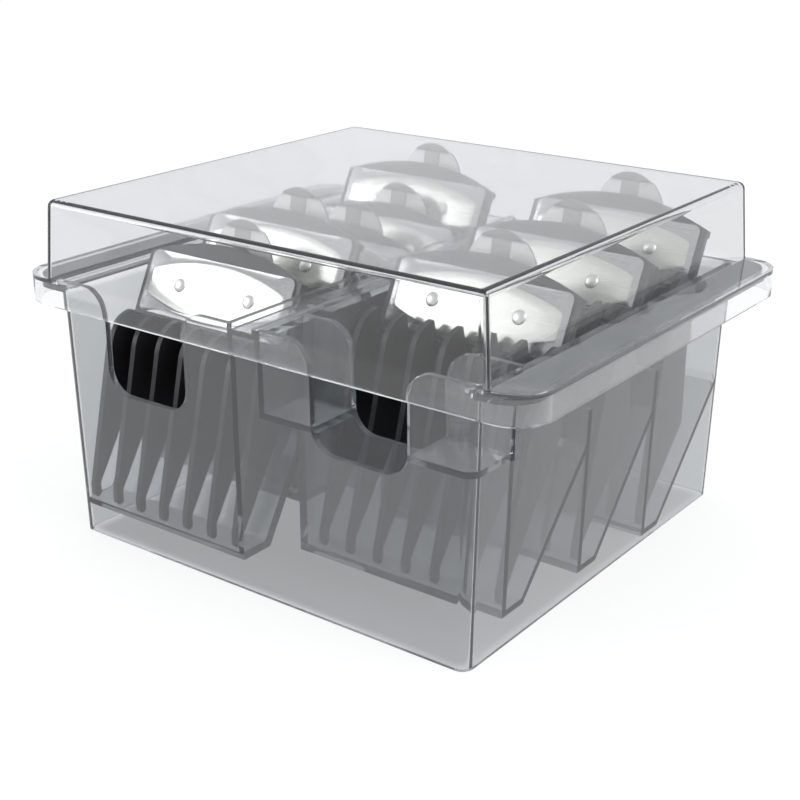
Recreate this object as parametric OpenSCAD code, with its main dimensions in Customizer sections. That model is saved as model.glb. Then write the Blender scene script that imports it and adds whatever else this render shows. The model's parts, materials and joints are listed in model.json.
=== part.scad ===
// Lidded caddy with eight clipper guard combs, each with a riveted clip plate and a sprung thumb lever.
// Origin: centre of the tray's footprint, on the table. +X right, -Y front, +Z up. Millimetres.

/* [Box] */
// Outer width of the lid's raised part, at the flange
lid_w = 123.7; // [122:0.1:125]
// Outer depth of the lid's raised part, at the flange
lid_d = 115.4; // [115.4:0.1:117]
// Height of the closed box
box_h = 82.5; // [82.5:0.5:90]
// Wall of the lid
lid_t = 1.2; // [1:0.1:1.2]
// Width of the side flanges, beyond the raised part
flange_w = 9.65; // [9:0.05:12]
// Height of the face that the lid rests on
rest_z = 62.5; // [62.5:0.5:63]
// Depth of the lid's skirt below that face
skirt_h = 5.4; // [4:0.2:9]

/* [Tray] */
// Wall of the tray
wall = 1.5; // [1.2:0.1:1.6]
// How far each side wall leans in between the rim and the table
lean_x = 1.6; // [1:0.1:1.8]
// How far the front and back walls lean in
lean_y = 0.3; // [0:0.1:0.4]
// Half the gap between the two columns of pockets
gap_half = 3.15; // [2.5:0.05:3.5]
// Height of the dividers between pockets
divider_h = 44; // [38:1:44]
// Height of the ears and of the column walls
ear_h = 63.6; // [63:0.1:63.6]
// Depth of the shallow recess at the front right
recess_d = 14; // [12:0.5:14]
// Floor of that recess
recess_floor = 44.7; // [40:0.1:50]

/* [Guards] */
// Pitch of the fins
fin_pitch = 7.75; // [7:0.05:7.75]
// Thickness of a fin
fin_t = 1.4; // [1:0.1:2]
// Number of fins on a comb
fin_count = 7; // [5:2:7]
// Rivet line below the top of the thumb lever
rivet_drop = 14.8; // [14:0.1:15.5]
// Width of the steel clip plate
plate_w = 45; // [40:1:46]
// Half the distance between the rivets
rivet_x = 11; // [9:0.5:13]
// Backward lean of the clip plate
plate_tilt = 27; // [20:1:28]
// Radius of the thumb lever's domed tab
tab_r = 9.5; // [8:0.5:9.5]

/* [Hidden] */
$fn = 48;

eps = 0.01;
far = 200;

// Lid
lid_half_w = lid_w / 2;
lid_half_d = lid_d / 2;
lid_lean_x = 1.3;
lid_lean_y = 0.8;
lid_corner_r = 1.8;
lid_edge_r = 1.8;
flange_top = rest_z + lid_t;
flange_corner_r = 8.5;
skirt_z = rest_z - skirt_h;

// Tray, as half sizes at the rim and at the table
lid_gap = 0.3;
rim_half_w = 58.8;
rim_half_d = lid_half_d - lid_t - lid_gap;
foot_half_w = rim_half_w - lean_x;
foot_half_d = rim_half_d - lean_y;
tray_corner_r = 3;
rim_reach = 10.2;
rim_corner_r = 7.5;
gap_mid = -0.95;
gap_left = gap_mid - gap_half;
gap_right = gap_mid + gap_half;

// Pockets: each column has a list of inner front faces, floors, floor depths and slant tops
inner_back = rim_half_d - wall;
left_count = 5;
left_pitch = 21.6;
left_front = [for (i = [0 : left_count - 1]) -inner_back + i * left_pitch];
left_floor = [8.5, 15.5, 11, 14, 22];
left_slant_rise = 19.6;
left_slant_top = [for (z = left_floor) z + left_slant_rise];
left_floor_depth = 8.2;
right_first = -inner_back + recess_d;
right_front = [right_first, -9.3, 21.5];
right_floor = [8.2, 5.6, 2.6];
right_slant_top = [36, 34.5, 33.3];
right_floor_depth = 6;

// Finger notches in the front wall, as [left edge, right edge, bottom]
left_notch = [-43.7, -19, 39];
right_notch = [17.2, 42.4, 39.5];
notch_r = 6;
ear_r = 6;

// Guards: column centres, gaps to the pocket, height of each lever's top over the table, depth
// from skin edge to clip plate, drop of the fin tops below the rivets, slope of the inner edge,
// radius of the fin's shoulder, backward lean of the skin edge
left_x = -30.9;
right_x = 30.4;
skin_gap = 0.8;
tip_gap = 0.2;
guard_front = concat(left_front, right_front);
guard_floor = concat(left_floor, right_floor);
guard_count = left_count + len(right_front);
lever_top = [74.3, 78.3, 71, 72, 80.2, 77.8, 78.5, 80.3];
plate_depth = [21.1, 20, 20, 18, 11.7, 25, 24.5, 21.9];
fin_drop = [6.7, 6.7, 6.7, 6.7, 9.6, 2.7, 2.7, 2.7];
inner_slope = [1.58, 1.58, 1.58, 1.58, 2.1, 1.42, 1.15, 1.05];
fin_round = [8, 8, 8, 8, 5, 8, 8, 8];
fin_lean = [13.5, 13.5, 13.5, 12, 3, 16, 15.5, 10];

function guard_x(i) = i < left_count ? left_x : right_x;
function guard_z(i) = guard_floor[i] + tip_gap;
function rivet_z(i) = lever_top[i] - guard_z(i) - rivet_drop;

// Comb
finger_d = 1.9;
finger_h = 3.4;
comb_w = (fin_count - 1) * fin_pitch + fin_t;
bed_t = 1.5;
bed_front = -4.7;
web_w = 48;
web_t = 1.5;
web_top = 11.7;
web_bottom = -8.8;
web_drop = 4.8;
shoulder_w = 47;
shoulder_h = 2.3;
shoulder_d = 3.4;
rim_bar_t = 1.6;
rim_bar_y = 2.4;

// Clip plate, as heights over the rivet line, along the leaning plate
plate_t = 0.6;
plate_gap = 0.2;
plate_top = 7.6;
plate_bottom = -7.8;
plate_r = 1.8;
panel_w = 42.6;
panel_top = 6.8;
panel_bottom = -7.1;
panel_drop = 3.8;
panel_t = 0.4;

// Foot of the leaning frame, below and behind the rivet line
foot_drop = -web_bottom * cos(plate_tilt);
foot_y = web_bottom * sin(plate_tilt) + plate_t * cos(plate_tilt);

// Rivets
rivet_r = 1;
rivet_head_r = 1.8;
rivet_head_h = 0.5;

// Thumb lever, hinge pin and spring, upright, from the plate's front face at the rivet line
pin_y = 9.7;
pin_z = 4;
pin_r = 1;
pin_half = 12.2;
bore_clear = 0.03;
barrel_r = 1.9;
barrel_half = 9.6;
lug_in = 9.8;
lug_t = 2;
lug_r = 2.2;
lug_top = 6.7;
tab_y = 10.1;
tab_t = 1.1;
rib_half = 2.6;
rib_t = 0.5;
window_half = 3;
window_h = 2.8;
catch_bottom = 1.2;
catch_half = 6;
catch_reach = 2.4;
catch_t = 1;
coil_half = 2.3;
coil_r = 1.9;
coil_bore = 1.25;
wire_r = 0.35;

// ---- Shared outlines -------------------------------------------------------

module rounded_rect(half_w, half_d, r) {
  square([2 * (half_w - r), 2 * half_d], center = true);
  square([2 * half_w, 2 * (half_d - r)], center = true);
  for (sx = [-1, 1], sy = [-1, 1]) translate([sx * (half_w - r), sy * (half_d - r)]) circle(r);
}

// A tapering block with rounded upright edges, standing on z = 0
module leaning_block(low_w, low_d, high_w, high_d, h, r) {
  hull() for (sx = [-1, 1], sy = [-1, 1]) {
    translate([sx * (low_w - r), sy * (low_d - r), 0]) cylinder(h = eps, r = r, $fn = 32);
    translate([sx * (high_w - r), sy * (high_d - r), h - eps]) cylinder(h = eps, r = r, $fn = 32);
  }
}

// A side view, drawn as [y, z], spread along X from x0 to x1
module side_extrude(x0, x1) {
  translate([x0, 0, 0]) rotate([90, 0, 90]) linear_extrude(height = x1 - x0) children();
}

// A front view, drawn as [x, z], spread along Y from y0 to y1
module front_extrude(y0, y1) {
  translate([0, y1, 0]) rotate([90, 0, 0]) linear_extrude(height = y1 - y0) children();
}

// ---- Lid -------------------------------------------------------------------

module lid_block(inset) {
  r = lid_corner_r - inset;
  edge = lid_edge_r - inset;
  top_w = lid_half_w - lid_lean_x - inset - edge;
  top_d = lid_half_d - lid_lean_y - inset - edge;
  hull() for (sx = [-1, 1], sy = [-1, 1]) {
    translate([sx * (lid_half_w - inset - r), sy * (lid_half_d - inset - r), rest_z - eps])
      cylinder(h = lid_t, r = r, $fn = 32);
    translate([sx * top_w, sy * top_d, box_h - inset - edge]) sphere(edge, $fn = 32);
  }
}

module lid() {
  flange_half = lid_half_w + flange_w;
  color([0.72, 0.75, 0.78, 0.35]) difference() {
    union() {
      lid_block(0);
      translate([0, 0, skirt_z]) linear_extrude(height = flange_top - skirt_z)
        rounded_rect(flange_half, lid_half_d, flange_corner_r);
    }
    lid_block(lid_t);
    translate([0, 0, skirt_z - 1]) linear_extrude(height = skirt_h + 1)
      rounded_rect(flange_half - lid_t, lid_half_d - lid_t, flange_corner_r - lid_t);
  }
}

// ---- Tray ------------------------------------------------------------------

// The tray's tapering block, taken in by an inset on every side
module tray_block(inset) {
  leaning_block(foot_half_w - inset, foot_half_d - inset,
    rim_half_w - inset, rim_half_d - inset, rest_z, tray_corner_r - inset);
}

// Side view of one pocket: an upright front, a short floor and a slant up to the back
module pocket_outline(front, back, floor_z, floor_d, slant_top) {
  polygon([
    [front, far], [front, floor_z], [front + floor_d, floor_z], [back, slant_top], [back, far]
  ]);
}

// The same outline one wall larger all round, cut off at the top of the dividers
module pocket_shell_outline(front, back, floor_z, floor_d, slant_top) {
  slope = (slant_top - floor_z) / (back - front - floor_d);
  drop = wall * sqrt(1 + slope * slope);
  toe = (drop - wall) / slope;
  polygon([
    [front - wall, divider_h], [front - wall, floor_z - wall],
    [front + floor_d + toe, floor_z - wall],
    [back + wall, slant_top - drop + slope * wall], [back + wall, divider_h]
  ]);
}

module pocket_column(fronts, floors, floor_d, slant_tops, shell) {
  last = len(fronts) - 1;
  for (i = [0 : last]) {
    back = i < last ? fronts[i + 1] - wall : inner_back;
    if (shell) pocket_shell_outline(fronts[i], back, floors[i], floor_d, slant_tops[i]);
    else pocket_outline(fronts[i], back, floors[i], floor_d, slant_tops[i]);
  }
}

module left_column(shell) {
  pocket_column(left_front, left_floor, left_floor_depth, left_slant_top, shell);
}

module right_column(shell) {
  pocket_column(right_front, right_floor, right_floor_depth, right_slant_top, shell);
}

// A finger notch, open at the top, with rounded lower corners and a rounded ear on each side
module notch_outline(notch) {
  low_x = notch[0];
  high_x = notch[1];
  low_z = notch[2];
  translate([low_x + notch_r, low_z]) square([high_x - low_x - 2 * notch_r, far]);
  translate([low_x, low_z + notch_r]) square([high_x - low_x, far]);
  for (x = [low_x + notch_r, high_x - notch_r]) translate([x, low_z + notch_r]) circle(notch_r);
  ear_corner(low_x, -1);
  ear_corner(high_x, 1);
}

// What is cut away so that an ear's top corner is round; the ear lies on the given side of x
module ear_corner(x, side) {
  centre = [x + side * ear_r, ear_h - ear_r];
  difference() {
    translate([min(x, centre[0]), centre[1]]) square([ear_r, ear_r + 1]);
    translate(centre) circle(ear_r);
  }
}

// The upright wall beside the gap, from the pockets up to the height of the ears
module column_wall(x0) {
  band_low = min(divider_h, recess_floor - wall);
  side_extrude(x0, x0 + wall)
    translate([-rim_half_d + wall / 2, band_low]) square([2 * rim_half_d - wall, ear_h - band_low]);
}

// Front ears and the upper front of the first right pocket, standing above the rim
module front_walls() {
  low_z = recess_floor - wall;
  ear_low = rest_z - wall;
  translate([-rim_half_w, -rim_half_d, ear_low]) cube([rim_half_w + gap_left, wall, ear_h - ear_low]);
  translate([gap_right, -rim_half_d, ear_low]) cube([rim_half_w - gap_right, wall, ear_h - ear_low]);
  translate([gap_right, right_first - wall, low_z]) cube([rim_half_w - gap_right, wall, ear_h - low_z]);
}

module tray() {
  left_edge = gap_left - wall;
  right_edge = gap_right + wall;
  half_wall = wall / 2;
  color([0.55, 0.57, 0.6, 0.4]) difference() {
    union() {
      difference() {
        tray_block(0);
        translate([0, 0, -eps]) tray_block(wall);
        translate([0, 0, rest_z - 1]) linear_extrude(height = 2)
          rounded_rect(rim_half_w - wall, rim_half_d - wall, tray_corner_r - wall);
      }
      intersection() {
        tray_block(half_wall);
        union() {
          side_extrude(-far, gap_left) left_column(true);
          side_extrude(gap_right, far) right_column(true);
          translate([gap_right, -far, recess_floor - wall]) cube([far, far + right_first, wall]);
        }
      }
      column_wall(left_edge);
      column_wall(gap_right);
      translate([left_edge, -rim_half_d + half_wall, rest_z - wall])
        cube([right_edge - left_edge, 2 * rim_half_d - wall, wall]);
      front_walls();
      translate([0, 0, rest_z - wall]) linear_extrude(height = wall) difference() {
        rounded_rect(rim_half_w + rim_reach, rim_half_d, rim_corner_r);
        rounded_rect(rim_half_w - wall, rim_half_d - wall, tray_corner_r - wall);
      }
    }
    intersection() {
      tray_block(wall);
      union() {
        side_extrude(-far, left_edge) left_column(false);
        side_extrude(right_edge, far) right_column(false);
      }
    }
    front_extrude(-far, -inner_back + half_wall) notch_outline(left_notch);
    front_extrude(-far, right_first + eps) notch_outline(right_notch);
  }
}

// ---- Guards ----------------------------------------------------------------

// Puts a guard's piece in its pocket, with x = 0 at the comb's middle, y = 0 at the skin edges and
// z = 0 at the tips
module in_pocket(i) {
  translate([guard_x(i), guard_front[i] + skin_gap, guard_z(i)]) children();
}

// The same, with the origin where the clip plate's front face meets the rivet line
module at_heel(i) {
  in_pocket(i) translate([0, plate_depth[i], rivet_z(i)]) children();
}

// Leans back with the clip plate, about the rivet line
module leaning() {
  rotate([-plate_tilt, 0, 0]) children();
}

// A cylinder along X, centred on x = 0
module x_rod(half, r) {
  rotate([0, 90, 0]) cylinder(h = 2 * half, r = r, center = true);
}

// A barrel shape: straight ends, arched top and bottom
module barrel_outline(w, top, bottom, drop) {
  half = w / 2;
  arch_r = (half * half + drop * drop) / (2 * drop);
  intersection() {
    translate([-half, bottom]) square([w, top - bottom]);
    translate([0, top - arch_r]) circle(arch_r, $fn = 180);
    translate([0, bottom + arch_r]) circle(arch_r, $fn = 180);
  }
}

// The frame behind the clip plate: an arched top and a straight foot
module web_outline(top) {
  half = web_w / 2;
  arch_r = (half * half + web_drop * web_drop) / (2 * web_drop);
  intersection() {
    translate([-half, web_bottom]) square([web_w, top - web_bottom]);
    translate([0, top - arch_r]) circle(arch_r, $fn = 180);
  }
}

// The clip plate's blank: a rectangle with rounded corners
module plate_outline() {
  translate([0, (plate_top + plate_bottom) / 2])
    rounded_rect(plate_w / 2, (plate_top - plate_bottom) / 2, plate_r);
}

// Side view of one fin: a rounded finger, an inner slant, a skin edge that leans back and a
// rounded shoulder
module fin_outline(i) {
  d = plate_depth[i];
  r = fin_round[i];
  lean = fin_lean[i];
  foot = rivet_z(i) - foot_drop;
  top = rivet_z(i) - fin_drop[i];
  back = d + bed_front + bed_t;
  bed_low = finger_h + (back - finger_d) * inner_slope[i];
  step = 360 / $fn;
  turn = step * round(lean / step);
  edge_z = top - r + r * sin(turn);
  edge_y = (edge_z - finger_h) * tan(lean);
  round_y = edge_y + r * cos(turn);
  translate([finger_d / 2, finger_d / 2]) circle(d = finger_d);
  translate([0, finger_d / 2]) square([finger_d, finger_h - finger_d / 2]);
  polygon([
    [0, finger_h], [finger_d, finger_h], [back, bed_low], [back, foot], [d + foot_y - plate_gap, foot],
    [round_y, top], [edge_y, edge_z]
  ]);
  translate([round_y, top - r]) intersection() {
    circle(r);
    translate([-2 * r, -r]) square([2 * r, 3 * r]);
  }
}

// Middle of the leaning frame at a height over the rivet line
function web_mid(z) = z * tan(plate_tilt) + (plate_t + web_t / 2) / cos(plate_tilt);

// A lug that carries one end of the hinge pin
module lug(side) {
  x0 = side > 0 ? lug_in : -lug_in - lug_t;
  low = pin_z - lug_r;
  side_extrude(x0, x0 + lug_t) {
    polygon([[web_mid(low), low], [pin_y, low], [pin_y, pin_z + lug_r], [web_mid(lug_top), lug_top]]);
    translate([pin_y, pin_z]) circle(lug_r);
  }
}

// The two holes for the rivets, through plate and frame
module rivet_holes() {
  for (side = [-1, 1]) translate([side * rivet_x, 0, 0]) rotate([-90, 0, 0])
    translate([0, 0, -1]) cylinder(h = web_t + plate_t + 2, r = rivet_r);
}

module comb(i) {
  d = plate_depth[i];
  foot = rivet_z(i) - foot_drop;
  back = d + bed_front + bed_t;
  bed_low = finger_h + (back - finger_d) * inner_slope[i];
  color([0.07, 0.07, 0.08]) in_pocket(i) difference() {
    union() {
      for (k = [0 : fin_count - 1]) {
        x = -comb_w / 2 + k * fin_pitch;
        side_extrude(x, x + fin_t) fin_outline(i);
      }
      translate([-comb_w / 2, d + bed_front, bed_low]) cube([comb_w, bed_t, foot - bed_low]);
      translate([-shoulder_w / 2, d + bed_front, foot - shoulder_h])
        cube([shoulder_w, shoulder_d, shoulder_h]);
      translate([0, d, rivet_z(i)]) {
        leaning() front_extrude(plate_t, plate_t + web_t) web_outline(web_top);
        leaning() front_extrude(plate_t, plate_t + rim_bar_y) difference() {
          web_outline(web_top);
          translate([0, -rim_bar_t]) web_outline(web_top);
          translate([-web_w, web_bottom - 1]) square([2 * web_w, 2 * rim_bar_t + 1]);
        }
        lug(-1);
        lug(1);
      }
    }
    translate([0, d, rivet_z(i)]) {
      translate([0, pin_y, pin_z]) x_rod(pin_half + 1, pin_r);
      leaning() rivet_holes();
    }
  }
}

module clip_plate(i) {
  color("silver") at_heel(i) leaning() difference() {
    union() {
      front_extrude(0, plate_t) plate_outline();
      front_extrude(-panel_t, plate_t / 2) barrel_outline(panel_w, panel_top, panel_bottom, panel_drop);
    }
    rivet_holes();
  }
}

module rivets(i) {
  back = plate_t + web_t;
  color("gainsboro") at_heel(i) leaning() for (side = [-1, 1]) translate([side * rivet_x, 0, 0])
  rotate([-90, 0, 0]) {
    translate([0, 0, -panel_t - rivet_head_h]) cylinder(h = rivet_head_h, r1 = rivet_r, r2 = rivet_head_r);
    translate([0, 0, -panel_t - eps]) cylinder(h = back + panel_t + 2 * eps, r = rivet_r);
    translate([0, 0, back]) cylinder(h = rivet_head_h, r = rivet_head_r);
  }
}

module thumb_lever(i) {
  tab_z = rivet_drop - tab_r;
  color("silver") at_heel(i) difference() {
    union() {
      translate([0, pin_y, pin_z]) x_rod(barrel_half, barrel_r);
      front_extrude(tab_y, tab_y + tab_t) {
        intersection() {
          translate([0, tab_z]) circle(tab_r);
          translate([-tab_r, tab_z]) square([2 * tab_r, tab_r]);
        }
        translate([-tab_r, pin_z]) square([2 * tab_r, tab_z - pin_z + eps]);
        translate([-catch_half, catch_bottom]) square([2 * catch_half, pin_z - catch_bottom + eps]);
      }
      front_extrude(tab_y - rib_t, tab_y + eps)
        translate([-rib_half, pin_z + window_h]) square([2 * rib_half, tab_r - window_h - 1]);
      translate([-catch_half, tab_y - catch_reach, catch_bottom])
        cube([2 * catch_half, catch_reach, catch_t]);
    }
    translate([0, pin_y, pin_z]) x_rod(barrel_half + 1, pin_r + bore_clear);
    translate([-window_half, 0, pin_z - window_h]) cube([2 * window_half, 2 * pin_y, 2 * window_h]);
  }
}

module hinge_pin(i) {
  color("dimgray") at_heel(i) translate([0, pin_y, pin_z]) x_rod(pin_half, pin_r);
}

// The spring: a coil round the pin, one leg on the comb's frame and one on the lever's rib
module spring(i) {
  leg_y = tab_y - rib_t - wire_r - eps;
  leg_x = coil_half - 2 * wire_r;
  leg_drop = coil_r - 1.5 * wire_r;
  frame_back = web_mid(pin_z - leg_drop + wire_r) + web_t / 2 / cos(plate_tilt) + eps;
  color("slategray") at_heel(i) difference() {
    union() {
      translate([0, pin_y, pin_z]) x_rod(coil_half, coil_r);
      translate([-leg_x, frame_back, pin_z - leg_drop])
        rotate([-90, 0, 0]) cylinder(h = pin_y - frame_back, r = wire_r);
      translate([leg_x, leg_y, pin_z]) cylinder(h = tab_r - window_h, r = wire_r);
    }
    translate([0, pin_y, pin_z]) x_rod(coil_half + 1, coil_bore);
  }
}

// ---- Nodes -----------------------------------------------------------------

tray();
lid();
comb(0);  // guard_1_comb
clip_plate(0);  // guard_1_clip_plate
rivets(0);  // guard_1_rivets
thumb_lever(0);  // guard_1_thumb_lever
hinge_pin(0);  // guard_1_hinge_pin
spring(0);  // guard_1_spring
comb(1);  // guard_2_comb
clip_plate(1);  // guard_2_clip_plate
rivets(1);  // guard_2_rivets
thumb_lever(1);  // guard_2_thumb_lever
hinge_pin(1);  // guard_2_hinge_pin
spring(1);  // guard_2_spring
comb(2);  // guard_3_comb
clip_plate(2);  // guard_3_clip_plate
rivets(2);  // guard_3_rivets
thumb_lever(2);  // guard_3_thumb_lever
hinge_pin(2);  // guard_3_hinge_pin
spring(2);  // guard_3_spring
comb(3);  // guard_4_comb
clip_plate(3);  // guard_4_clip_plate
rivets(3);  // guard_4_rivets
thumb_lever(3);  // guard_4_thumb_lever
hinge_pin(3);  // guard_4_hinge_pin
spring(3);  // guard_4_spring
comb(4);  // guard_5_comb
clip_plate(4);  // guard_5_clip_plate
rivets(4);  // guard_5_rivets
thumb_lever(4);  // guard_5_thumb_lever
hinge_pin(4);  // guard_5_hinge_pin
spring(4);  // guard_5_spring
comb(5);  // guard_6_comb
clip_plate(5);  // guard_6_clip_plate
rivets(5);  // guard_6_rivets
thumb_lever(5);  // guard_6_thumb_lever
hinge_pin(5);  // guard_6_hinge_pin
spring(5);  // guard_6_spring
comb(6);  // guard_7_comb
clip_plate(6);  // guard_7_clip_plate
rivets(6);  // guard_7_rivets
thumb_lever(6);  // guard_7_thumb_lever
hinge_pin(6);  // guard_7_hinge_pin
spring(6);  // guard_7_spring
comb(7);  // guard_8_comb
clip_plate(7);  // guard_8_clip_plate
rivets(7);  // guard_8_rivets
thumb_lever(7);  // guard_8_thumb_lever
hinge_pin(7);  // guard_8_hinge_pin
spring(7);  // guard_8_spring
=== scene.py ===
import json
import math
import bmesh
import bpy
from mathutils import Matrix, Vector

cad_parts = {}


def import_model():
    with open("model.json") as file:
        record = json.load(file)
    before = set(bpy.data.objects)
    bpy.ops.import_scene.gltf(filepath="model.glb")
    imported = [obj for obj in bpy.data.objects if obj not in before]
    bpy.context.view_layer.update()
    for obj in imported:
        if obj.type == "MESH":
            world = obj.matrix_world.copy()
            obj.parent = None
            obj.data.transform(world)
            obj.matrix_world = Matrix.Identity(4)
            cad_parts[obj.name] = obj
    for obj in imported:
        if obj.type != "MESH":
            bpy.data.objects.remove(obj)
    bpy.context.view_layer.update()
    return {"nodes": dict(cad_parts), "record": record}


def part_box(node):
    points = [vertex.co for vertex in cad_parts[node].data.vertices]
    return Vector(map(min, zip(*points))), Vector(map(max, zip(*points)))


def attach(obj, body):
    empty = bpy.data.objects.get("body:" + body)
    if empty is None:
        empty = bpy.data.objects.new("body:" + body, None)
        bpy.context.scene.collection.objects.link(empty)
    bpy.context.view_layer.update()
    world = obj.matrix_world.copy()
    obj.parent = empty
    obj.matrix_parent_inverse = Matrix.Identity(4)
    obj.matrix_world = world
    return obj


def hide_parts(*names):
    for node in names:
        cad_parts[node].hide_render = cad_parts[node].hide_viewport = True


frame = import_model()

scene = bpy.context.scene
nodes = frame["nodes"]
SLOT = {row["node"]: row["material_slot"] for row in frame["record"]["subparts"]}
GUARDS = 8
MM = 0.001
TILT = math.radians(27)


# ---- Node helpers ----------------------------------------------------------

class Graph:
    """A material's node tree, with short calls to add and join nodes."""

    def __init__(self, name):
        self.mat = bpy.data.materials.new(name)
        self.mat.use_nodes = True
        self.tree = self.mat.node_tree
        self.tree.nodes.clear()
        self.out = self.tree.nodes.new("ShaderNodeOutputMaterial")

    def add(self, kind, **inputs):
        node = self.tree.nodes.new("ShaderNode" + kind)
        for key, value in inputs.items():
            self.put(node, key.replace("_", " "), value)
        return node

    def put(self, node, key, value):
        socket = node.inputs[key]
        if isinstance(value, bpy.types.NodeSocket):
            self.tree.links.new(value, socket)
        else:
            socket.default_value = value

    def surface(self, socket):
        self.tree.links.new(socket, self.out.inputs["Surface"])

    def volume(self, socket):
        self.tree.links.new(socket, self.out.inputs["Volume"])

    def calculate(self, kind, operation, *values):
        """The result of a Math or VectorMath node."""
        node = self.add(kind)
        node.operation = operation
        for index, value in enumerate(values):
            self.put(node, index, value)
        return node.outputs["Value"]

    def blend(self, fac, first, second):
        """Two shaders mixed: the first at 0, the second at 1."""
        node = self.add("MixShader", Fac=fac)
        self.put(node, 1, first)
        self.put(node, 2, second)
        return node.outputs[0]

    def tint(self, fac, first, second):
        """Two colours mixed: the first at 0, the second at 1."""
        return self.add("MixRGB", Fac=fac, Color1=first, Color2=second).outputs[0]

    def along(self, coordinate, axis):
        """One component of the Object or Normal coordinate."""
        source = self.add("TexCoord").outputs[coordinate]
        return self.add("SeparateXYZ", Vector=source).outputs[axis]

    def noise(self, scale, detail=2.0, stretch=(1, 1, 1)):
        place = self.add("TexCoord").outputs["Object"]
        mapping = self.add("Mapping", Vector=place, Scale=stretch)
        return self.add("TexNoise", Vector=mapping.outputs[0], Scale=scale, Detail=detail).outputs["Fac"]

    def ramp(self, fac, low, high, a, b):
        """Goes from a to b as fac goes from low to high, and stays flat beyond them."""
        node = self.add("MapRange", Value=fac, From_Min=low, From_Max=high, To_Min=a, To_Max=b)
        return node.outputs[0]

    def bump(self, height, distance, strength=0.5):
        return self.add("Bump", Height=height, Distance=distance, Strength=strength).outputs[0]


def rgba(r, g=None, b=None):
    return (r, r if g is None else g, r if b is None else b, 1.0)


# ---- Materials -------------------------------------------------------------

SMOKE = rgba(0.52, 0.55, 0.58)
RIM_STEP = 0.001   # the height, in metres, over which a clear plastic's tint changes


def clear_plastic(name, density, haze, top_light, upper, lower, rim_z):
    """Moulded clear plastic: refraction, smoke absorption and a thin haze.

    The extra white haze on faces that look up is a painted top light, for the light they catch from above.
    The tint goes from lower to upper at rim_z, in metres.
    """
    g = Graph(name)
    height = g.along("Object", "Z")
    colour = g.tint(g.ramp(height, rim_z - RIM_STEP, rim_z, 0, 1), rgba(*lower), rgba(*upper))
    glass = g.add("BsdfPrincipled", Base_Color=colour, IOR=1.5, Transmission_Weight=1.0,
                  Normal=g.bump(g.noise(35), 0.00012), Roughness=g.ramp(g.noise(900), 0.3, 0.7, 0.01, 0.04))
    milk = g.add("BsdfDiffuse", Color=rgba(0.86, 0.88, 0.90))
    # Painted top light: faces that look up get extra white haze, as if lit from above.
    haze_and_top_light = g.ramp(g.along("Normal", "Z"), 0.15, 0.8, haze, haze + top_light)
    fade = g.ramp(height, rim_z - RIM_STEP, rim_z, 1, 0.5)
    body = g.blend(g.calculate("Math", "MULTIPLY", haze_and_top_light, fade), glass.outputs[0], milk.outputs[0])
    see = g.add("BsdfTransparent", Color=rgba(0.94, 0.945, 0.955))
    g.surface(g.blend(g.add("LightPath").outputs["Is Shadow Ray"], body, see.outputs[0]))
    g.volume(g.add("VolumeAbsorption", Color=SMOKE, Density=density).outputs[0])
    return g.mat


def black_plastic(name):
    """Moulded black plastic with a fine grain."""
    g = Graph(name)
    cloud = g.noise(90)
    bsdf = g.add("BsdfPrincipled", IOR=1.5, Roughness=g.ramp(cloud, 0.3, 0.7, 0.30, 0.42),
                 Base_Color=g.tint(cloud, rgba(0.010, 0.009, 0.010), rgba(0.018, 0.017, 0.019)),
                 Normal=g.bump(g.noise(2600, 3.0), 0.00002))
    g.surface(bsdf.outputs[0])
    return g.mat


def steel(name, colour, rough):
    """Plain steel with fine brush lines."""
    g = Graph(name)
    lines = g.noise(500, stretch=(0.15, 6, 6))
    darker = [c * 0.96 for c in colour]
    bsdf = g.add("BsdfPrincipled", Base_Color=g.tint(g.noise(60), rgba(*darker), rgba(*colour)), Metallic=1.0,
                 Roughness=g.ramp(lines, 0.3, 0.7, rough * 0.8, rough * 1.25),
                 Normal=g.bump(lines, 0.00001, 0.6))
    g.surface(bsdf.outputs[0])
    return g.mat


def lever_steel(name):
    """Pressed steel for the thumb tab: bright wings, with painted shade on the rib, the rolled lip and the
    edges, which are painted darker for the shade and dark reflections they show.
    """
    g = Graph(name)
    # Painted shade: masks for the rib, the rolled lip and the tab's edges, which are painted darker.
    rib = g.ramp(g.calculate("Math", "ABSOLUTE", g.along("Object", "X")), 0.0027, 0.0024, 0, 1)
    lip = g.ramp(g.along("Object", "Z"), 0.0124, 0.0127, 0, 1)
    edge_shade_mask = g.ramp(g.calculate("Math", "ABSOLUTE", g.along("Normal", "Y")), 0.5, 0.3, 0, 1)
    grain = g.noise(700, stretch=(0.3, 4, 4))
    # Painted shade on the steel colour: grey on the rib, near black on the lip and on the edges.
    wings = g.tint(rib, rgba(0.96, 0.955, 0.93), rgba(0.34, 0.34, 0.335))
    tab_with_lip_shade = g.tint(lip, wings, rgba(0.17))
    bsdf = g.add("BsdfPrincipled", Base_Color=g.tint(edge_shade_mask, tab_with_lip_shade, rgba(0.10)), Metallic=0.3,
                 Roughness=g.ramp(grain, 0.3, 0.7, 0.26, 0.36), Normal=g.bump(grain, 0.00001))
    g.surface(bsdf.outputs[0])
    return g.mat


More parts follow.
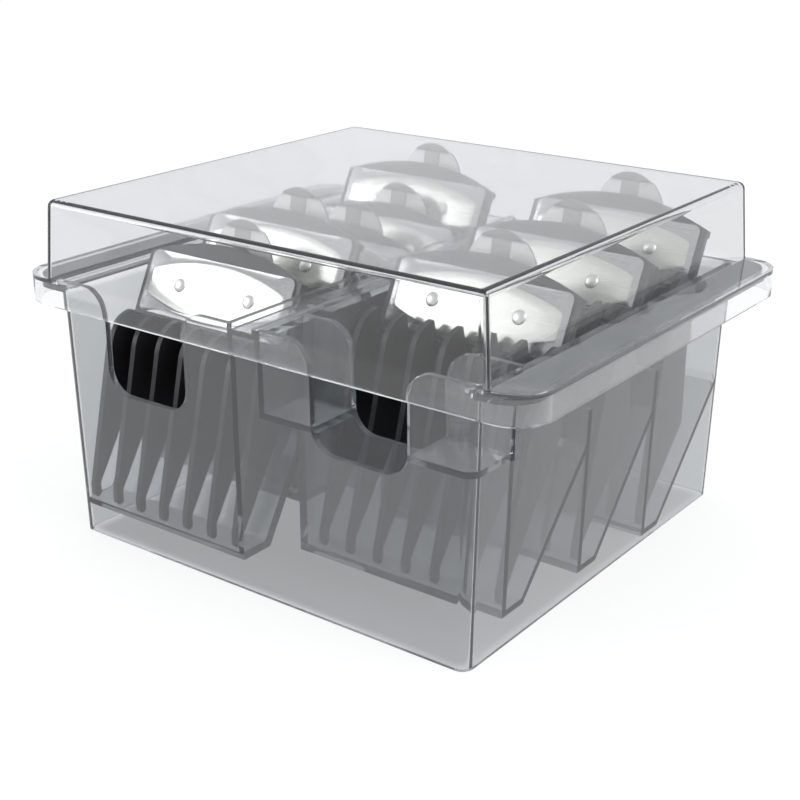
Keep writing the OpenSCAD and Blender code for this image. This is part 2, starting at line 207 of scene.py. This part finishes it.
def panel_steel(name):
    """The clip plate: a bright panel, told by how far it stands out of its duller border."""
    g = Graph(name)
    through_plate = (0, math.cos(TILT), -math.sin(TILT))
    depth = g.calculate("VectorMath", "DOT_PRODUCT", g.add("TexCoord").outputs["Object"], through_plate)
    raised = g.ramp(depth, -0.00015, -0.00025, 0, 1)
    lines = g.noise(500, stretch=(0.15, 6, 6))
    tone = g.tint(raised, rgba(0.50, 0.505, 0.50), rgba(0.73, 0.725, 0.675))
    shade = g.tint(g.ramp(g.noise(60), 0.3, 0.7, 0, 0.06), tone, rgba(0.5))
    bsdf = g.add("BsdfPrincipled", Base_Color=shade, Metallic=0.92,
                 Roughness=g.ramp(lines, 0.3, 0.7, 0.2, 0.28), Normal=g.bump(lines, 0.00001))
    g.surface(bsdf.outputs[0])
    return g.mat


TRAY_RIM, LID_RIM = 0.0605, 0.064
WHITE = (1.0, 1.0, 1.0)
MATERIALS = {
    "smoke_lid": clear_plastic("smoke_lid", density=110, haze=0.012, top_light=0.0,
                               upper=(0.93, 0.935, 0.94), lower=WHITE, rim_z=LID_RIM),
    "smoke_tray": clear_plastic("smoke_tray", density=150, haze=0.035, top_light=0.08,
                                upper=WHITE, lower=(0.74, 0.75, 0.76), rim_z=TRAY_RIM),
    "black_plastic": black_plastic("black_plastic"),
    "polished_steel": steel("polished_steel", (0.93, 0.925, 0.90), 0.16),
    "rivet_steel": steel("rivet_steel", (0.80, 0.795, 0.76), 0.34),
    "spring_steel": steel("spring_steel", (0.45, 0.46, 0.48), 0.28),
}
# Painted shade: the tray's rounded edges get this much darker clear plastic, for the dark lines that its cut
# edges show.
SHADED_EDGE_PLASTIC = clear_plastic("painted_shade_edge", density=150, haze=0.02, top_light=0.0,
                             upper=(0.75, 0.76, 0.78), lower=(0.18, 0.19, 0.21), rim_z=TRAY_RIM)
LEVER_STEEL = lever_steel("lever_steel")
PANEL_STEEL = panel_steel("panel_steel")


# ---- Pieces kept from the CAD ----------------------------------------------

EDGE_MM = {"tray": 0.3, "lid": 0.35, "comb": 0.28, "hinge_pin": 0.2}
OWN_SLOT, EDGE_SLOT = -1, 1


def soften(obj, width, edge_slot):
    """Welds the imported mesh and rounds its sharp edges, in the material of edge_slot."""
    mesh = obj.data
    if "custom_normal" in mesh.attributes:
        mesh.attributes.remove(mesh.attributes["custom_normal"])
    mesh.polygons.foreach_set("use_smooth", [True] * len(mesh.polygons))
    weld = obj.modifiers.new("weld", "WELD")
    weld.merge_threshold = 0.000002
    bevel = obj.modifiers.new("bevel", "BEVEL")
    bevel.width = width * MM
    bevel.segments = 2
    bevel.limit_method = "ANGLE"
    bevel.angle_limit = math.radians(35)
    bevel.material = edge_slot
    normals = obj.modifiers.new("normals", "WEIGHTED_NORMAL")
    normals.weight = 60


def dress_nodes():
    """Gives each CAD piece its material, and round edges to those that stay in sight."""
    for name, obj in nodes.items():
        obj.data.materials.clear()
        obj.data.materials.append(MATERIALS[SLOT[name]])
        kind = name.split("_", 2)[2] if name.startswith("guard") else name
        # The tray's rounded edges take the darker clear plastic of the painted edge shade.
        if kind == "tray":
            obj.data.materials.append(SHADED_EDGE_PLASTIC)
        if kind in EDGE_MM:
            soften(obj, EDGE_MM[kind], EDGE_SLOT if kind == "tray" else OWN_SLOT)


# ---- Mesh helpers ----------------------------------------------------------

def mm(x, y, z):
    return Vector((x, y, z)) * MM


def leaning(point):
    """Turns a point of an upright plate to the plate's real lean, about the rivet line."""
    return Matrix.Rotation(-TILT, 3, "X") @ point


def circle(sides):
    """The angles of the points on a closed ring."""
    return [2 * math.pi * k / sides for k in range(sides)]


def new_object(name, bm, material, smooth_angle=40):
    mesh = bpy.data.meshes.new(name)
    bmesh.ops.recalc_face_normals(bm, faces=bm.faces)
    bm.to_mesh(mesh)
    bm.free()
    mesh.polygons.foreach_set("use_smooth", [True] * len(mesh.polygons))
    mesh.set_sharp_from_angle(angle=math.radians(smooth_angle))
    mesh.materials.append(material)
    obj = bpy.data.objects.new(name, mesh)
    scene.collection.objects.link(obj)
    return obj


def copy_of(source, name, place):
    obj = bpy.data.objects.new(name, source.data)
    scene.collection.objects.link(obj)
    obj.location = place
    return obj


def join_rings(bm, a, b):
    """Joins two closed rings of vertices with quads."""
    count = len(a)
    for i in range(count):
        j = (i + 1) % count
        bm.faces.new((a[i], a[j], b[j], b[i]))


def skin_rings(bm, rings):
    """Joins rings of equal length with quads; the ends are closed with a face each."""
    rows = [[bm.verts.new(p) for p in ring] for ring in rings]
    for a, b in zip(rows, rows[1:]):
        join_rings(bm, a, b)
    bm.faces.new(list(reversed(rows[0])))
    bm.faces.new(rows[-1])


def tube(bm, path, radius, sides=10):
    """A round wire along a list of points."""
    rings = []
    up = Vector((1, 0, 0))
    for i, p in enumerate(path):
        ahead = (path[min(i + 1, len(path) - 1)] - path[max(i - 1, 0)]).normalized()
        side = up.cross(ahead)
        if side.length < 0.1:
            side = Vector((0, 0, 1)).cross(ahead)
        side.normalize()
        up = ahead.cross(side).normalized()
        rings.append([p + (side * math.cos(t) + up * math.sin(t)) * radius for t in circle(sides)])
    skin_rings(bm, rings)


def lathe(bm, profile, centre, axis, sides=24):
    """A closed solid from (radius, distance) pairs, turned about the axis through centre."""
    axis = axis.normalized()
    side = axis.orthogonal().normalized()
    other = axis.cross(side)
    rings = [[centre + axis * d + (side * math.cos(t) + other * math.sin(t)) * r for t in circle(sides)]
             for r, d in profile]
    skin_rings(bm, rings)


# ---- A guard's clip and lever ----------------------------------------------

# Millimetres, from the point where the rivet line meets the plate's front face:
# x runs along the plate, y back into the comb and z up.
RIVET_X = 11.0
PIN_Y, PIN_Z = 9.7, 4.0
PANEL_T, BACK_T = 0.4, 2.1
PLATE_W, PLATE_H = 22.5, 7.7

LEVER_W, LEVER_TOP, LEVER_T = 9.5, 14.8, 0.5
LEVER_Y, LEVER_Z, LEVER_LEAN = 9.75, 9.06, 0.17
ROUND_Z, ROUND_POWER = 5.3, 1.9
RIB_X, RIB_RISE = 2.4, 0.3
WING_X, WING_LEAN = 2.6, 0.11
LIP_X, LIP_Z, LIP_RISE = 7.6, 12.4, 0.45
KNUCKLE_R, KNUCKLE_BORE = 1.9, 1.06
KNUCKLE_IN, KNUCKLE_OUT, KNUCKLE_EDGE = 3.1, 9.55, 0.12

COIL_R, COIL_HALF = 1.55, 1.9


def heel(i):
    """Where a guard's rivet line meets the plate's front face, from its hinge pin."""
    low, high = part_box("guard_%d_hinge_pin" % i)
    return (low + high) / 2 - mm(0, PIN_Y, PIN_Z)


def rivet_pair():
    """Two domed rivets, set in the leaning plate."""
    bm = bmesh.new()
    head, shank, rise, gap = 1.7, 0.98, 0.6, 0.02
    front = -PANEL_T
    dome = [(head * math.cos(t), front - rise * math.sin(t))
            for t in (math.radians(a) for a in (88, 75, 60, 45, 30, 15, 4))]
    neck = [(head * 0.97, front + gap), (shank, front + gap), (shank, BACK_T - gap)]
    tail = [(1.6, BACK_T - gap), (1.75, BACK_T + 0.12), (1.55, BACK_T + 0.42), (0.9, BACK_T + 0.5)]
    profile = [(r * MM, d * MM) for r, d in dome + neck + tail]
    for side in (-1, 1):
        lathe(bm, profile, leaning(mm(side * RIVET_X, 0, 0)), leaning(Vector((0, 1, 0))))
    return new_object("rivet_pair", bm, MATERIALS["rivet_steel"])


def smooth(t):
    """0 below 0, 1 above 1, and an even curve between."""
    t = min(1.0, max(0.0, t))
    return t * t * (3 - 2 * t)


def half_width(z):
    """Half the width of the thumb tab: full up to ROUND_Z, then rounded off towards LEVER_TOP."""
    t = max(0.0, (z - ROUND_Z) / (LEVER_TOP - ROUND_Z))
    return LEVER_W * (1 - t ** ROUND_POWER) ** (1 / ROUND_POWER)


def tab_front(x, z):
    """Depth of the tab's front face: wings that fan back, a raised rib and a lip rolled forward."""
    lean = LEVER_Y + (z - LEVER_Z) * LEVER_LEAN
    rib = lean - RIB_RISE
    wing = lean + max(0.0, abs(x) - WING_X) * WING_LEAN
    y = rib + (wing - rib) * smooth((abs(x) - RIB_X) / 0.35)
    lip = smooth((z - LIP_Z) / 0.7) * smooth((LIP_X - abs(x)) / 1.5)
    return y + (lean - LIP_RISE - y) * lip


def tab_columns(z):
    """Where the tab's columns of points stand, closest at the rib's flanks and the tab's edges."""
    right = [0.1, 0.2, 0.26, 0.3, 0.36, 0.45, 0.6, 0.75, 0.9, 0.97, 1]
    steps = [-u for u in reversed(right)] + [0] + right
    w = half_width(z)
    # The columns near the rib stay upright while the tab is within 0.2 mm of its full width
    middle = w if w < LEVER_W - 0.2 else LEVER_W
    return [u * (middle if abs(u) <= 0.5 else w) for u in steps]


def thumb_tab(bm):
    """The tab: a front and a back sheet of points, closed at the rims."""
    heights = [3.2, 4.2, 5.0, 6.0, 7.2, 8.4, 9.6, 10.8, 11.8,
               12.3, 12.6, 12.9, 13.2, 13.7, 14.1, 14.4, 14.6, 14.74]
    fronts, backs = [], []
    for z in heights:
        places = [(x, tab_front(x, z)) for x in tab_columns(z)]
        fronts.append([bm.verts.new(mm(x, y, z)) for x, y in places])
        backs.append([bm.verts.new(mm(x, y + LEVER_T, z)) for x, y in places])
    rows, cols = len(heights), len(fronts[0])
    for r in range(rows - 1):
        for c in range(cols - 1):
            bm.faces.new((fronts[r][c], fronts[r][c + 1], fronts[r + 1][c + 1], fronts[r + 1][c]))
            bm.faces.new((backs[r][c], backs[r + 1][c], backs[r + 1][c + 1], backs[r][c + 1]))
    for c in range(cols - 1):
        bm.faces.new((fronts[0][c], backs[0][c], backs[0][c + 1], fronts[0][c + 1]))
        bm.faces.new((fronts[-1][c], fronts[-1][c + 1], backs[-1][c + 1], backs[-1][c]))
    for r in range(rows - 1):
        bm.faces.new((fronts[r][0], fronts[r + 1][0], backs[r + 1][0], backs[r][0]))
        bm.faces.new((fronts[r][-1], backs[r][-1], backs[r + 1][-1], fronts[r + 1][-1]))


def knuckle(bm, side):
    """One barrel rolled round the hinge pin, with small chamfers at its ends."""
    inner, outer, edge = side * KNUCKLE_IN, side * KNUCKLE_OUT, side * KNUCKLE_EDGE
    section = [(inner, KNUCKLE_BORE), (inner, KNUCKLE_R - KNUCKLE_EDGE), (inner + edge, KNUCKLE_R),
               (outer - edge, KNUCKLE_R), (outer, KNUCKLE_R - KNUCKLE_EDGE), (outer, KNUCKLE_BORE)]
    loops = [[bm.verts.new(mm(x, PIN_Y + r * math.cos(t), PIN_Z + r * math.sin(t))) for t in circle(28)]
             for x, r in section]
    for a, b in zip(loops, loops[1:] + loops[:1]):
        join_rings(bm, a, b)


def thumb_lever():
    """A folded steel tab with a rib and a lip, rolled round the pin in two knuckles, with a hook below."""
    bm = bmesh.new()
    thumb_tab(bm)
    for side in (-1, 1):
        knuckle(bm, side)
    hook = [(10.5, 2.9), (11.1, 2.9), (11.1, 1.5), (10.8, 1.2), (7.9, 1.2),
            (7.7, 1.4), (7.7, 1.9), (7.9, 2.1), (10.3, 2.1)]
    skin_rings(bm, [[mm(x, y, z) for y, z in hook] for x in (-6, -5.9, 5.9, 6)])
    return new_object("thumb_lever", bm, LEVER_STEEL, 30)


def ray_reach(inside, dx, dz):
    """How many times (dx, dz) fits between the middle and an outline, found by halving."""
    low, high = 0.0, 3.0
    for _ in range(40):
        middle = (low + high) / 2
        low, high = (middle, high) if inside(dx * middle, dz * middle) else (low, middle)
    return low


def in_plate(x, z, r=1.8):
    """Whether a point is inside the plate's outline, a rectangle with round corners."""
    over_x, over_z = abs(x) - (PLATE_W - r), abs(z) - (PLATE_H - r)
    return math.hypot(max(0.0, over_x), max(0.0, over_z)) <= r


def in_panel(x, z, half_w=21.3, half_h=6.95, drop=3.8, r=1.2):
    """Whether a point is inside the panel's outline, a barrel whose long sides drop towards its ends."""
    bow = (half_w ** 2 + drop ** 2) / (2 * drop)
    near = math.hypot(abs(x), abs(z) + bow - half_h)
    if abs(x) > half_w or near > bow:
        return False
    corner_x = half_w - r
    corner_z = math.sqrt((bow - r) ** 2 - corner_x ** 2) - bow + half_h
    if abs(x) > corner_x and abs(z) > corner_z:
        return math.hypot(abs(x) - corner_x, abs(z) - corner_z) <= r
    return True


def embossed_plate():
    """The clip plate: a flat blank with a raised barrel-shaped panel, slightly crowned."""
    middle = -0.12   # the height of the plate's middle over the rivet line
    # Rings from the back to the panel's middle: the outline, its scale and its depth
    rings = [(in_plate, 0.985, 0.6), (in_plate, 1.0, 0.5), (in_plate, 1.0, 0.1), (in_plate, 0.99, 0.0),
             (in_panel, 1.012, 0.0), (in_panel, 1.0, -0.08), (in_panel, 0.975, -0.27),
             (in_panel, 0.955, -0.31), (in_panel, 0.7, -0.36), (in_panel, 0.4, -0.39)]
    bm = bmesh.new()
    loops = []
    for inside, scale, depth in rings:
        loop = []
        for t in circle(160):
            dx, dz = PLATE_W * math.cos(t), PLATE_H * math.sin(t)
            reach = ray_reach(inside, dx, dz) * scale
            loop.append(leaning(mm(dx * reach, depth, middle + dz * reach)))
        loops.append(loop)
    skin_rings(bm, loops)
    return new_object("embossed_plate", bm, PANEL_STEEL, 50)


def spring_coil():
    """The wound part of the spring and the leg that bears on the comb's frame."""
    bm = bmesh.new()
    turns, points = 5.5, 16
    steps = int(turns * points)
    path = [mm(-COIL_HALF, 4.6, PIN_Z - COIL_R), mm(-COIL_HALF, 7.2, PIN_Z - COIL_R)]
    for k in range(steps + 1):
        t = 2 * math.pi * k / points
        x = -COIL_HALF + 2 * COIL_HALF * k / steps
        path.append(mm(x, PIN_Y + COIL_R * math.sin(t), PIN_Z - COIL_R * math.cos(t)))
    tube(bm, path, 0.3 * MM)
    return new_object("spring_coil", bm, MATERIALS["spring_steel"], 60)


def spring_leg():
    """The leg that bears on the lever's rib."""
    bm = bmesh.new()
    path = [mm(COIL_HALF, PIN_Y - COIL_R, 4.6), mm(COIL_HALF, 8.1, 5.6), mm(COIL_HALF, 8.3, 6.6),
            mm(COIL_HALF, 8.47, 7.4), mm(1.2, 8.55, 7.8)]
    tube(bm, path, 0.27 * MM)
    return new_object("spring_leg", bm, MATERIALS["spring_steel"], 60)


def build_guards():
    """Builds each kind of piece once and puts a copy of it on every guard."""
    masters = {
        "clip_plate": embossed_plate(),
        "rivets": rivet_pair(),
        "thumb_lever": thumb_lever(),
        "spring": spring_coil(),
        "spring_leg": spring_leg(),
    }
    for i in range(1, GUARDS + 1):
        place = heel(i)
        for kind, master in masters.items():
            piece = copy_of(master, "guard_%d_%s_shaped" % (i, kind), place)
            on_lever = kind in ("thumb_lever", "spring_leg")
            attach(piece, ("lever_%d" if on_lever else "guard_%d") % i)
            node = "guard_%d_%s" % (i, "spring" if kind == "spring_leg" else kind)
            if kind != "spring_leg":
                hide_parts(node)
    for master in masters.values():
        bpy.data.objects.remove(master)


# ---- Stage -----------------------------------------------------------------

FOOT_HALF = {"X": 0.0572, "Y": 0.0559}   # half the size of the tray's foot, in metres
FLOOR_DROP = 0.0002                      # keeps the floor clear of the foot


def floor():
    """A pale floor that glows a little, with a painted shadow: the glow drops inside the tray's foot."""
    mesh = bpy.data.meshes.new("floor")
    bm = bmesh.new()
    bmesh.ops.create_grid(bm, x_segments=2, y_segments=2, size=6.0)
    bm.to_mesh(mesh)
    bm.free()
    obj = bpy.data.objects.new("floor", mesh)
    scene.collection.objects.link(obj)
    g = Graph("floor")
    diffuse = g.add("BsdfDiffuse", Color=rgba(0.92))
    # Painted shadow: the floor's glow falls from 1.06 to 0.5 inside the tray's foot.
    shade = []
    for axis, half in FOOT_HALF.items():
        far = g.calculate("Math", "ABSOLUTE", g.along("Object", axis))
        shade.append(g.ramp(far, half - 0.004, half - 0.0005, 1, 0))
    shadow_mask = g.calculate("Math", "MULTIPLY", *shade)
    glow = g.add("Emission", Color=rgba(1.0), Strength=g.ramp(shadow_mask, 0, 1, 1.06, 0.5))
    g.surface(g.blend(0.72, diffuse.outputs[0], glow.outputs[0]))
    mesh.materials.append(g.mat)
    obj.location.z = -FLOOR_DROP


def world():
    w = bpy.data.worlds.new("studio")
    w.use_nodes = True
    scene.world = w
    tree = w.node_tree
    tree.nodes.clear()
    out = tree.nodes.new("ShaderNodeOutputWorld")
    back = tree.nodes.new("ShaderNodeBackground")
    back.inputs["Color"].default_value = rgba(0.97, 0.985, 1.0)
    back.inputs["Strength"].default_value = 0.95
    tree.links.new(back.outputs[0], out.inputs[0])


def area(name, place, target, size, power):
    """A soft rectangular light, aimed at a target."""
    data = bpy.data.lights.new(name, "AREA")
    data.shape = "RECTANGLE"
    data.size, data.size_y = size
    data.energy = power
    obj = bpy.data.objects.new(name, data)
    obj.location = place
    obj.rotation_euler = (Vector(target) - Vector(place)).to_track_quat("-Z", "Y").to_euler()
    scene.collection.objects.link(obj)


def look_from(place, direction, lens):
    """The photograph's camera."""
    camera = bpy.data.objects.new("camera", bpy.data.cameras.new("camera"))
    scene.collection.objects.link(camera)
    camera.data.lens = lens
    camera.data.sensor_width = 36
    camera.location = place
    camera.rotation_euler = Vector(direction).to_track_quat("-Z", "Y").to_euler()
    scene.camera = camera


def bounces():
    """Enough light bounces to see through every wall of the lid and the tray."""
    scene.cycles.transparent_max_bounces = 48
    scene.cycles.max_bounces = 32
    scene.cycles.transmission_bounces = 28
    scene.cycles.glossy_bounces = 6
    scene.cycles.diffuse_bounces = 3
    scene.cycles.caustics_reflective = False
    scene.cycles.sample_clamp_indirect = 4


dress_nodes()
build_guards()
floor()
world()
area("key", place=(-0.95, -0.78, 0.5), target=(0, 0, 0.05), size=(0.7, 0.6), power=4)
area("side", place=(0.9, 0.1, 0.6), target=(0, 0, 0.04), size=(0.5, 0.6), power=4)
look_from(place=(0.2014, -0.2712, 0.1607), direction=(-0.5583, 0.7467, -0.3616), lens=65.86)
scene.view_settings.view_transform = "Standard"
bounces()
